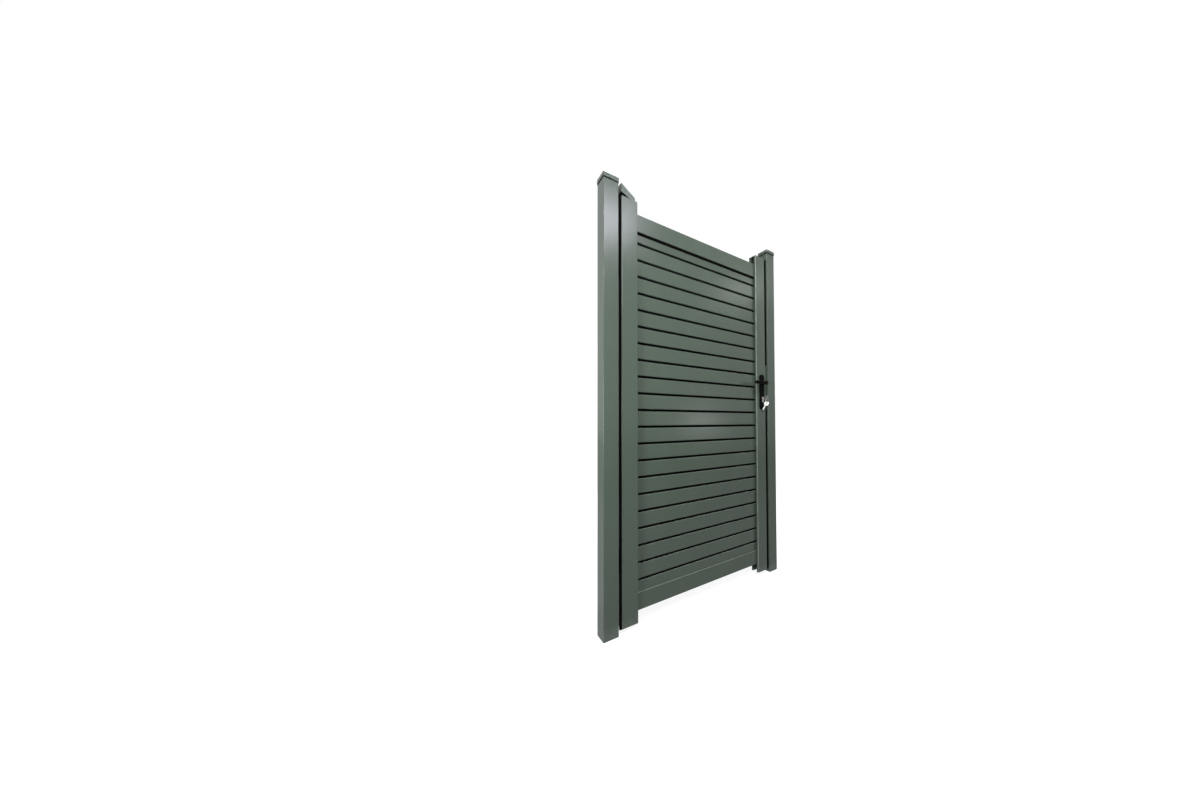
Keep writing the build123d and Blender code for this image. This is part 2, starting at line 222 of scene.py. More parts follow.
@dataclass(frozen=True)
class PowderCoat:
    """Satin powder coat: fine orange peel, faint mottling, a light dust colour on up-facing ledges and near the
    ground that is partly dust and partly painted light (light from above on ledges, floor bounce low down), and a
    painted highlight along one upright edge.
    """

    name: str
    colour: Colour
    roughness: float
    specular: float
    peel: float = 0.00004
    mottle: float = 0.06
    # The dust colour is lighter than the coat: low down it is partly dust and partly painted floor bounce, on
    # up-facing ledges partly dust and partly painted light from above.
    dust_and_painted_light: Colour = (0.22, 0.225, 0.21)
    low_dust_and_bounce_height: float = 0.06
    low_dust_and_bounce_share: float = 0.3
    ledge_dust_and_light_share: float = 0.5
    # A light colour painted along one upright edge as a highlight, standing in for the lamps' reflection on the
    # rounded corner.
    painted_highlight_colour: Colour = (0.19, 0.21, 0.195)
    painted_highlight_edge: tuple[float, float] | None = None
    painted_highlight_reach: tuple[float, float] = (2.2 * MM, 4.4 * MM)

    def ledge_dust_and_light(self, graph: FinishGraph) -> Signal:
        """Return how much of the light dust colour lies where the surface faces up: partly dust, partly painted light
        from above.
        """
        source = graph.add("ShaderNodeTexCoord")
        facing = graph.add("ShaderNodeSeparateXYZ", sockets={0: source.outputs["Normal"]})
        return graph.ramp(graph.out(facing, 2), 0.9, 0.99) * self.ledge_dust_and_light_share

    def edge_highlight(self, graph: FinishGraph, x: Signal, y: Signal) -> Signal:
        """Return how strongly the painted highlight lies along the upright edge, a little patchy, in place of the
        lamps' reflection on its rounded corner.
        """
        near_x = 1.0 - graph.ramp(x - self.painted_highlight_edge[0], *self.painted_highlight_reach)
        near_y = 1.0 - graph.ramp(y - self.painted_highlight_edge[1], *self.painted_highlight_reach)
        return near_x * near_y * (0.55 + 0.45 * graph.ramp(graph.noise(26.0, 3.0), 0.35, 0.65))

    def make(self) -> bpy.types.Material:
        """Return the finish as a material."""
        graph = FinishGraph(bpy.data.materials.new(self.name))
        cloud = graph.ramp(graph.noise(5.0, 3.0), 0.3, 0.7)
        speck = graph.ramp(graph.noise(900.0, 2.0), 0.35, 0.65)
        tone = cloud * 0.6 + speck * 0.4
        clean = graph.blend(tone, solid(self.colour, 1 - self.mottle), solid(self.colour, 1 + self.mottle))
        # Blend toward the light dust colour near the ground and on up-facing ledges: partly dust, partly painted
        # floor bounce and painted light from above.
        axes = graph.add("ShaderNodeSeparateXYZ", sockets={0: graph.place()})
        low = 1.0 - graph.ramp(graph.out(axes, 2), 0.0, self.low_dust_and_bounce_height)
        settled_dust_and_light = (low * self.low_dust_and_bounce_share).larger(self.ledge_dust_and_light(graph))
        dust_and_painted_light = settled_dust_and_light * (0.5 + 0.5 * graph.ramp(graph.noise(70.0, 4.0), 0.35, 0.65))
        base = graph.blend(dust_and_painted_light, clean, solid(self.dust_and_painted_light))
        # Paint the edge highlight into the base colour.
        if self.painted_highlight_edge:
            painted_highlight = self.edge_highlight(graph, graph.out(axes, 0), graph.out(axes, 1))
            base = graph.blend(painted_highlight, base, solid(self.painted_highlight_colour))
        peel = graph.noise(700.0, 2.0) * 0.7 + graph.noise(2200.0, 1.0) * 0.3
        roughness = self.roughness + 0.04 * (cloud - 0.5) + 0.05 * (speck - 0.5) + 0.5 * dust_and_painted_light
        graph.principled({"Base Color": base, "Specular IOR Level": self.specular, "Roughness": roughness,
                          "Normal": graph.bump(peel, self.peel)})
        return graph.owner


@dataclass(frozen=True)
class PlatedMetal:
    """Bright metal with the fine rubbed lines and clouding of use."""

    name: str
    colour: Colour
    roughness: float
    grain: Point
    grain_depth: float = 0.00002

    def make(self) -> bpy.types.Material:
        """Return the finish as a material."""
        graph = FinishGraph(bpy.data.materials.new(self.name))
        lines = graph.noise(600.0, 3.0, self.grain)
        cloud = graph.ramp(graph.noise(60.0, 3.0), 0.35, 0.7)
        base = graph.blend(cloud, solid(self.colour), solid(self.colour, 0.82))
        graph.principled({"Base Color": base, "Metallic": 1.0,
                          "Roughness": self.roughness + 0.12 * cloud + 0.1 * (lines - 0.5),
                          "Normal": graph.bump(lines, self.grain_depth)})
        return graph.owner


@dataclass(frozen=True)
class PaintedShadeBlack:
    """Black of the pieces that paint the shade in the slat gaps and in the other gaps, slits and shadow lines."""

    name: str
    colour: Colour

    def make(self) -> bpy.types.Material:
        """Return the finish as a material."""
        graph = FinishGraph(bpy.data.materials.new(self.name))
        grit = graph.noise(800.0, 2.0)
        base = graph.blend(grit, solid(self.colour, 0.8), solid(self.colour, 1.2))
        graph.principled({"Base Color": base, "Roughness": 0.75 + 0.15 * (grit - 0.5), "Specular IOR Level": 0.02,
                          "Normal": graph.bump(grit, 0.0001)})
        return graph.owner


@dataclass
class Finishes:
    """All the finishes, made once."""

    def __post_init__(self) -> None:
        """Make the slots' materials, the latch stile's with its painted edge highlight, and the tops' with less of
        the dust and painted top light.
        """
        coat = PowderCoat("gate_powder_coat", (0.056, 0.079, 0.059), 0.24, 0.4)
        black = PowderCoat("handle_black_coat", (0.0014, 0.0015, 0.0014), 0.34, 0.03, 0.00003, 0.1,
                           low_dust_and_bounce_share=0.0, ledge_dust_and_light_share=0.02)
        self.by_slot = {
            Slot.COAT: coat.make(),
            Slot.BLACK: black.make(),
            Slot.HINGE: PowderCoat("hinge_coat", (0.05, 0.072, 0.055), 0.36, 0.4).make(),
            Slot.NICKEL: PlatedMetal("key_nickel", (0.38, 0.375, 0.355), 0.4, (1, 1, 0.15)).make(),
            Slot.LOCK: PlatedMetal("brushed_lock_steel", (0.56, 0.56, 0.55), 0.28, (1, 1, 0.04)).make(),
        }
        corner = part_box("latch_stile")[0]
        # Caps and top rail get less of the light dust colour on their tops, which is partly dust and partly painted
        # light from above.
        less_dust_and_light = replace(coat, name="less_dust_and_light_coat", ledge_dust_and_light_share=0.2).make()
        self.by_node = {
            # The latch stile's coat carries a painted highlight along its inner front edge.
            "latch_stile": replace(coat, name="latch_stile_coat", painted_highlight_edge=(corner.x, corner.y)).make(),
            "hinge_post_cap": less_dust_and_light, "latch_post_cap": less_dust_and_light, "latch_stile_cap": less_dust_and_light, "top_rail": less_dust_and_light,
        }
        # One black finish for every piece that paints shade into a gap, a slit or a shadow line.
        self.painted_shade = PaintedShadeBlack("painted_shade_black", (0.002, 0.002, 0.002)).make()

    def dress_solids(self, parts: Sequence[Mapping[str, str]]) -> None:
        """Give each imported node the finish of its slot.

        Args:
            parts: The record's nodes with their slots.
        """
        for part in parts:
            node = frame["nodes"][part["node"]]
            finish = self.by_node.get(part["node"]) or self.by_slot[Slot(part["material_slot"])]
            if node.material_slots:
                for slot in node.material_slots:
                    slot.material = finish
            else:
                node.data.materials.append(finish)


def clear_bench() -> None:
    """Leave edit mode and deselect everything."""
    if bpy.context.object and bpy.context.object.mode != "OBJECT":
        bpy.ops.object.mode_set(mode="OBJECT")
    bpy.ops.object.select_all(action="DESELECT")


class Workpiece:
    """One mesh on the bench, shaped with edit-mode operators and modifiers."""

    def __init__(self, obj: bpy.types.Object) -> None:
        """Hold the mesh's object."""
        self.obj = obj

    @classmethod
    def _taken(cls, name: str, scale: Sequence[float] = (1, 1, 1)) -> "Workpiece":
        """Name the primitive that was just added and put its place into its mesh."""
        obj = bpy.context.object
        obj.name = name
        obj.data.name = name
        obj.scale = scale
        bpy.ops.object.transform_apply(location=True, rotation=True, scale=True)
        return cls(obj)

    @classmethod
    def block(cls, name: str, low: Sequence[float], high: Sequence[float]) -> "Workpiece":
        """Return a new block between two corners."""
        clear_bench()
        first, last = Vector(low), Vector(high)
        bpy.ops.mesh.primitive_cube_add(size=1.0, location=(first + last) / 2)
        return cls._taken(name, last - first)

    @classmethod
    def rod(cls, name: str, centre: Sequence[float], radius: float, length: float, lie: Lie,
            sides: int = 48) -> "Workpiece":
        """Return a new rod about its middle."""
        clear_bench()
        bpy.ops.mesh.primitive_cylinder_add(vertices=sides, radius=radius, depth=length, location=centre,
                                            rotation=lie.value)
        return cls._taken(name)

    def _select(self) -> None:
        """Make this the only selected and the active object."""
        clear_bench()
        self.obj.select_set(True)
        bpy.context.view_layer.objects.active = self.obj

    def enter(self, mode: str) -> bmesh.types.BMesh:
        """Enter edit mode with nothing selected and return the mesh."""
        self._select()
        bpy.ops.object.mode_set(mode="EDIT")
        bpy.ops.mesh.select_mode(type=mode)
        bpy.ops.mesh.select_all(action="DESELECT")
        return bmesh.from_edit_mesh(self.obj.data)

    def faces(self, test: Callable[[Vector, Vector], bool]) -> "Workpiece":
        """Select the faces whose middle and normal pass a test."""
        mesh = self.enter("FACE")
        for face in mesh.faces:
            if test(face.calc_center_median(), face.normal):
                face.select_set(True)
        bmesh.update_edit_mesh(self.obj.data)
        return self

    def edges(self, test: Callable[[Vector, Vector], bool]) -> "Workpiece":
        """Select the edges whose two ends pass a test."""
        mesh = self.enter("EDGE")
        for edge in mesh.edges:
            if test(edge.verts[0].co, edge.verts[1].co):
                edge.select_set(True)
        bmesh.update_edit_mesh(self.obj.data)
        return self

    def points(self, test: Callable[[Vector], bool]) -> "Workpiece":
        """Select the points that pass a test."""
        mesh = self.enter("VERT")
        for point in mesh.verts:
            if test(point.co):
                point.select_set(True)
        bmesh.update_edit_mesh(self.obj.data)
        return self

    def bevel(self, width: float, segments: int = 3) -> "Workpiece":
        """Round the selected edges."""
        bpy.ops.mesh.bevel(offset=width, offset_type="OFFSET", segments=segments, affect="EDGES")
        clear_bench()
        return self

    def inset(self, thickness: float, depth: float = 0.0) -> "Workpiece":
        """Inset the selected faces, which stay selected."""
        bpy.ops.mesh.inset(thickness=thickness, depth=depth, use_even_offset=True)
        return self

    def extrude(self, travel: Point) -> "Workpiece":
        """Extrude the selected faces, which stay selected."""
        bpy.ops.mesh.extrude_region_move(TRANSFORM_OT_translate={"value": travel})
        return self

    def resize(self, factors: Point, centre: Sequence[float]) -> "Workpiece":
        """Scale what is selected about a point."""
        bpy.ops.transform.resize(value=factors, center_override=centre)
        return self

    def move(self, travel: Point) -> "Workpiece":
        """Move what is selected."""
        bpy.ops.transform.translate(value=travel)
        return self

    def bisect(self, place: Sequence[float], normal: Point) -> "Workpiece":
        """Cut a line of new edges round the whole mesh."""
        self.enter("FACE")
        bpy.ops.mesh.select_all(action="SELECT")
        bpy.ops.mesh.bisect(plane_co=place, plane_no=normal)
        clear_bench()
        return self

    def modify(self, kind: str, **settings: object) -> "Workpiece":
        """Add a modifier with its settings and apply it."""
        self._select()
        modifier = self.obj.modifiers.new(kind, kind)
        for key, value in settings.items():
            setattr(modifier, key, value)
        bpy.ops.object.modifier_apply(modifier=modifier.name)
        return self

    def soften(self, width: float, segments: int = 2, angle: float = 35.0) -> "Workpiece":
        """Round every edge sharper than an angle."""
        return self.modify("BEVEL", width=width, segments=segments, limit_method="ANGLE",
                           angle_limit=math.radians(angle), use_clamp_overlap=True)

    def cut(self, *tools: "Workpiece") -> "Workpiece":
        """Cut other workpieces out of this one and use them up."""
        return self._combine("DIFFERENCE", tools)

    def weld(self, *others: "Workpiece") -> "Workpiece":
        """Weld other workpieces to this one and use them up."""
        return self._combine("UNION", others)

    def _combine(self, operation: str, others: Sequence["Workpiece"]) -> "Workpiece":
        """Combine with each other workpiece in turn."""
        for other in others:
            self.modify("BOOLEAN", operation=operation, object=other.obj, solver="EXACT")
            bpy.data.objects.remove(other.obj)
        return self

    def copy(self, name: str, place: Matrix) -> "Workpiece":
        """Return a copy with its own mesh, moved in its mesh."""
        obj = self.obj.copy()
        obj.data = self.obj.data.copy()
        obj.name = name
        obj.data.name = name
        obj.data.transform(place)
        if place.determinant() < 0:
            obj.data.flip_normals()
        bpy.context.scene.collection.objects.link(obj)
        return Workpiece(obj)

    def discard(self) -> None:
        """Remove a pattern that was only copied from."""
        bpy.data.objects.remove(self.obj)

    def fit(self, body: Body, slot: Slot, finish: bpy.types.Material, stands_for: Sequence[str] = ()) -> None:
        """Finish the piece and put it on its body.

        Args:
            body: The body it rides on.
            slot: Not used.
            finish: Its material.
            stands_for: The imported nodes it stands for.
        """
        self._select()
        bpy.ops.object.shade_smooth_by_angle(angle=math.radians(38))
        self.modify("WEIGHTED_NORMAL", keep_sharp=True)
        self.obj.data.materials.clear()
        self.obj.data.materials.append(finish)
        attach(self.obj, body.value)
        if stands_for:
            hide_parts(*stands_for)
        log.info("%s rides on %s with %d faces", self.obj.name, body.value, len(self.obj.data.polygons))


def upright(first: Vector, last: Vector) -> bool:
    """Tell whether an edge stands upright."""
    return abs(first.x - last.x) < TOUCH and abs(first.y - last.y) < TOUCH


def lengthwise(first: Vector, last: Vector) -> bool:
    """Tell whether an edge runs along X."""
    return abs(first.y - last.y) < TOUCH and abs(first.z - last.z) < TOUCH


def through(first: Vector, last: Vector) -> bool:
    """Tell whether an edge runs from front to rear."""
    return abs(first.x - last.x) < TOUCH and abs(first.z - last.z) < TOUCH


@dataclass
class SlatInfill:
    """The slats, and the black strips in the gaps between them that paint the gaps' deep shade."""

    finishes: Finishes
    count: int = 22
    edge: float = 3 * MM
    wall: float = 1.5 * MM
    hollow: float = 15 * MM
    lean: float = math.radians(0.16)
    # Size of the black strips that paint the shade in the slat gaps.
    shade_strip_half: float = 2.2 * MM
    shade_strip_bite: float = 0.8 * MM
    shade_strip_lip: float = 0.7 * MM

    def slat(self) -> Workpiece:
        """Return the lowest slat: rounded along its edges and hollow at its ends."""
        low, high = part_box(f"slat_{self.count:02d}")
        slat = Workpiece.block("slat_pattern", low, high)
        slat.edges(lengthwise).bevel(self.edge, 6)
        slat.faces(lambda middle, normal: normal.x > 0.9).inset(self.wall).extrude((-self.hollow, 0, 0))
        slat.faces(lambda middle, normal: normal.x < -0.9).inset(self.wall).extrude((self.hollow, 0, 0))
        return slat

    def painted_shade(self, low: Vector, high: Vector) -> Workpiece:
        """Return a black gap strip, painted shade, with a shallow groove along each face."""
        shade_strip = Workpiece.block("shade_strip_pattern", low, high)
        shade_strip.edges(lengthwise).bevel(self.shade_strip_lip / 2, 2)
        for side in (-1, 1):
            shade_strip.faces(lambda middle, normal: normal.y * side > 0.9).inset(self.shade_strip_lip * 3, -self.shade_strip_lip)
        clear_bench()
        return shade_strip

    def build(self) -> None:
        """Make every slat and every strip from one pattern of each."""
        low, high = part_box(f"slat_{self.count:02d}")
        height = high.z - low.z
        middle = (low + high) / 2
        tops = [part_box(f"slat_{number:02d}")[1].z for number in range(1, self.count + 1)]
        chance = random.Random(11)
        slat = self.slat()
        for number, top in enumerate(tops, 1):
            lean = Matrix.Rotation(chance.uniform(-self.lean, self.lean), 4, "X")
            place = Matrix.Translation(middle + Vector((0, 0, top - high.z))) @ lean @ Matrix.Translation(-middle)
            name = f"slat_{number:02d}"
            slat.copy(f"rounded_{name}", place).fit(
                Body.LEAF, Slot.COAT, self.finishes.by_slot[Slot.COAT], [name])
        slat.discard()
        # A black strip fills each gap between slats as painted shade.
        gap_top = tops[0] - height + self.shade_strip_bite
        gap_foot = tops[1] - self.shade_strip_bite
        painted_shade = self.painted_shade(Vector((low.x, -self.shade_strip_half, gap_foot)), Vector((high.x, self.shade_strip_half, gap_top)))
        for number, top in enumerate(tops[:-1], 1):
            place = Matrix.Translation((0, 0, top - tops[0]))
            painted_shade.copy(f"gap_shade_strip_{number:02d}", place).fit(Body.LEAF, Slot.BLACK, self.finishes.painted_shade)
        painted_shade.discard()


@dataclass
class EdgeShadeStrips:
    """Black strips that paint the shadow line under the top rail and the shade in the gaps at the two posts."""

    finishes: Finishes
    rail_shade_strip: tuple[float, float] = (3.2 * MM, 12 * MM)
    hinge_strip: tuple[float, float] = (9 * MM, 8.5 * MM)
    latch_strip: tuple[float, float] = (4 * MM, 14 * MM)
    keeper_gap: float = 6 * MM
    setback: float = 1 * MM
    edge: float = 0.8 * MM

    def shade_strip(self, name: str, low: Sequence[float], high: Sequence[float], body: Body) -> None:
        """Make a strip with a rounded, grooved section."""
        shade_strip = Workpiece.block(name, low, high)
        size = Vector(high) - Vector(low)
        shade_strip.edges(lengthwise if size.x > size.z else upright).bevel(self.edge, 3)
        shade_strip.faces(lambda middle, normal: abs(normal.y) > 0.9).inset(self.edge, -self.edge / 2)
        clear_bench()
        shade_strip.fit(body, Slot.BLACK, self.finishes.painted_shade)

    def build(self) -> None:
        """Make the strips from the frame's own places."""
        rail_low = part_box("top_rail")[0]
        slat_low, slat_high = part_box("slat_22")
        stile_low, stile_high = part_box("hinge_stile")
        latch_low, latch_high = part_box("latch_stile")
        deep, tall = self.rail_shade_strip
        # Black strips under the top rail paint its shadow line.
        for side, y in (("front", slat_low.y - deep), ("rear", slat_high.y)):
            self.shade_strip(f"top_rail_{side}_seal", (stile_high.x, y, rail_low.z - tall),
                       (latch_low.x, y + deep, rail_low.z), Body.LEAF)
        # Black strips in the gaps at the posts paint the gaps' shade.
        thick, wide = self.hinge_strip
        self.shade_strip("hinge_gap_shade_strip", (stile_low.x - thick, stile_low.y + self.setback, stile_low.z),
                   (stile_low.x, stile_low.y + self.setback + wide, stile_high.z), Body.LEAF)
        thick, wide = self.latch_strip
        post_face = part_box("latch_post")[0].x
        keeper_low, keeper_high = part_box("latch_keeper")
        for end, foot, top in (("lower", latch_low.z, keeper_low.z - self.keeper_gap),
                               ("upper", keeper_high.z + self.keeper_gap, latch_high.z)):
            self.shade_strip(f"latch_gap_{end}_strip", (post_face - thick, latch_low.y + self.setback, foot),
                       (post_face, latch_low.y + self.setback + wide, top), Body.POSTS)


@dataclass
class PostCaps:
    """The moulded caps on the two posts, each with a black ring under it that paints the shadow line below the cap.
    """

    finishes: Finishes
    corner: float = 4 * MM
    brow: float = 1.5 * MM
    lip: float = 0.6 * MM
    wall: float = 2 * MM
    skirt: float = 14 * MM
    shade_ring_width: float = 1.2 * MM
    shade_ring_height: float = 4.5 * MM

    def build(self) -> None:
        """Make a cap over each packed one."""
        for post in ("hinge_post", "latch_post"):
            low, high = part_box(f"{post}_cap")
            cap = Workpiece.block(f"moulded_{post}_cap", low, high)
            cap.edges(upright).bevel(self.corner, 5)
            cap.edges(lambda a, b: min(a.z, b.z) > high.z - TOUCH).bevel(self.brow, 4)
            cap.edges(lambda a, b: max(a.z, b.z) < low.z + TOUCH).bevel(self.lip, 2)
            cap.faces(lambda middle, normal: normal.z < -0.99)
            cap.inset(self.wall - self.lip).extrude((0, 0, self.skirt))
            clear_bench()
            cap.fit(Body.POSTS, Slot.COAT, self.finishes.by_node[f"{post}_cap"], [f"{post}_cap"])
            # Under each cap a black ring paints the shadow line.
            self.shade_ring(post, low.z)

    def shade_ring(self, post: str, top: float) -> None:
        """Make the black ring under the cap's skirt that paints the shadow line there.

        Args:
            post: The post's node.
            top: The height of the skirt's foot.
        """
        low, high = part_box(post)
        over = Vector((self.shade_ring_width, self.shade_ring_width, 0))
        foot = top - self.shade_ring_height
        ring = Workpiece.block(f"{post}_cap_shade_ring", Vector((low.x, low.y, foot)) - over,
                               Vector((high.x, high.y, top)) + over)
        ring.edges(upright).bevel(self.corner - self.shade_ring_width, 4)
        hole = Workpiece.block("post_cutter", (low.x, low.y, foot - 1 * MM), (high.x, high.y, top + 1 * MM))
        ring.cut(hole).soften(0.3 * MM, 2, 50.0)
        ring.fit(Body.POSTS, Slot.BLACK, self.finishes.painted_shade)


@dataclass
class WedgeCap:
    """The wedge-shaped end cap that stands askew on the hinge stile."""

    finishes: Finishes
    land: float = 20 * MM
    lift: float = 19 * MM
    outer_height: float = 36 * MM
    inner_height: float = 14 * MM
    wall: float = 3 * MM
    hollow: float = 7 * MM
    edge: float = 1.4 * MM
    shade_block_foot: float = 1 * MM
    shade_block_setback: float = 2.5 * MM

    def build(self) -> None:
        """Make the cap: a block cut at the land, raised at the post and hollowed from below."""
        low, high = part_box("hinge_stile_cap")
        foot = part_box("hinge_stile")[1].z
        top = foot + self.inner_height
        cap = Workpiece.block("moulded_hinge_stile_cap", (low.x, low.y, foot), (high.x, high.y, top))
        slope_start = high.x - self.land
        cap.bisect((slope_start, 0, foot), (1, 0, 0))
        outer_top = self.lift + self.outer_height - self.inner_height
        slope_rise = outer_top * self.land / (high.x - low.x)
        cap.points(lambda p: p.x < low.x + TOUCH and p.z > top - TOUCH).move((0, 0, outer_top))
        cap.points(lambda p: p.x < low.x + TOUCH and p.z < foot + TOUCH).move((0, 0, self.lift))
        cap.points(lambda p: abs(p.x - slope_start) < TOUCH and p.z > top - TOUCH).move((0, 0, slope_rise))
        cap.faces(lambda middle, normal: normal.z < -0.5).inset(self.wall).extrude((0, 0, self.hollow))
        clear_bench()
        cap.soften(self.edge, 3)
        cap.fit(Body.LEAF, Slot.COAT, self.finishes.by_slot[Slot.COAT], ["hinge_stile_cap"])
        # A black block in the slit under the lifted end paints its shade.
        self.shade_block(low, slope_start, foot)

    def shade_block(self, low: Vector, land_start: float, foot: float) -> None:
        """Make the black block that fills the slit under the lifted end as painted shade.

        Args:
            low: The cap's lower corner.
            land_start: Where the cap comes to rest on the stile.
            foot: The top of the stile.
        """
        setback = self.shade_block_setback
        start = low.x + setback
        top = foot + self.shade_block_foot
        shade_block = Workpiece.block("hinge_stile_cap_shade_block", (start, low.y + setback, foot),
                              (land_start - setback, -low.y - setback, top))
        rise = self.lift * (land_start - start) / (land_start - low.x) - self.shade_block_foot
        shade_block.points(lambda p: p.x < start + TOUCH and p.z > top - TOUCH).move((0, 0, rise))
        clear_bench()
        shade_block.soften(0.4 * MM, 2, 20.0)
        shade_block.fit(Body.LEAF, Slot.BLACK, self.finishes.painted_shade)


@dataclass
class Screws:
    """Countersunk cross-head screws, all copied from one."""

    finishes: Finishes
    head: float = 3.6 * MM
    thickness: float = 1.6 * MM
    proud: float = 0.35 * MM
    cross_width: float = 1.0 * MM
    cross_length: float = 4.4 * MM
    cross_depth: float = 0.9 * MM

    def __post_init__(self) -> None:
        """Model the one that is copied, facing the front with the face it sits in at Y = 0."""
        front = -self.proud
        self.pattern = Workpiece.rod("screw_pattern", (0, front + self.thickness / 2, 0), self.head, self.thickness,
                                     Lie.Y, 28)
        self.pattern.edges(lambda a, b: max(a.y, b.y) < front + TOUCH).bevel(0.3 * MM, 3)
        for wide, tall in ((self.cross_length, self.cross_width), (self.cross_width, self.cross_length)):
            low = (-wide / 2, front - 1 * MM, -tall / 2)
            high = (wide / 2, front + self.cross_depth, tall / 2)
            self.pattern.cut(Workpiece.block("cross_cutter", low, high))

    def drive(self, name: str, place: Point, facing: Facing, body: Body, slot: Slot, turn: float = 0.0) -> None:
        """Put a screw in a face.

        Args:
            name: The screw's name.
            place: The middle of its head on the face.
            facing: Which way the head faces.
            body: The body it rides on.
            slot: The slot of its finish.
            turn: How far its cross is turned.
        """
        matrix = (Matrix.Translation(place) @ Matrix.Rotation(facing.value, 4, "Z")
                  @ Matrix.Rotation(turn, 4, "Y"))
        self.pattern.copy(name, matrix).fit(body, slot, self.finishes.by_slot[slot])


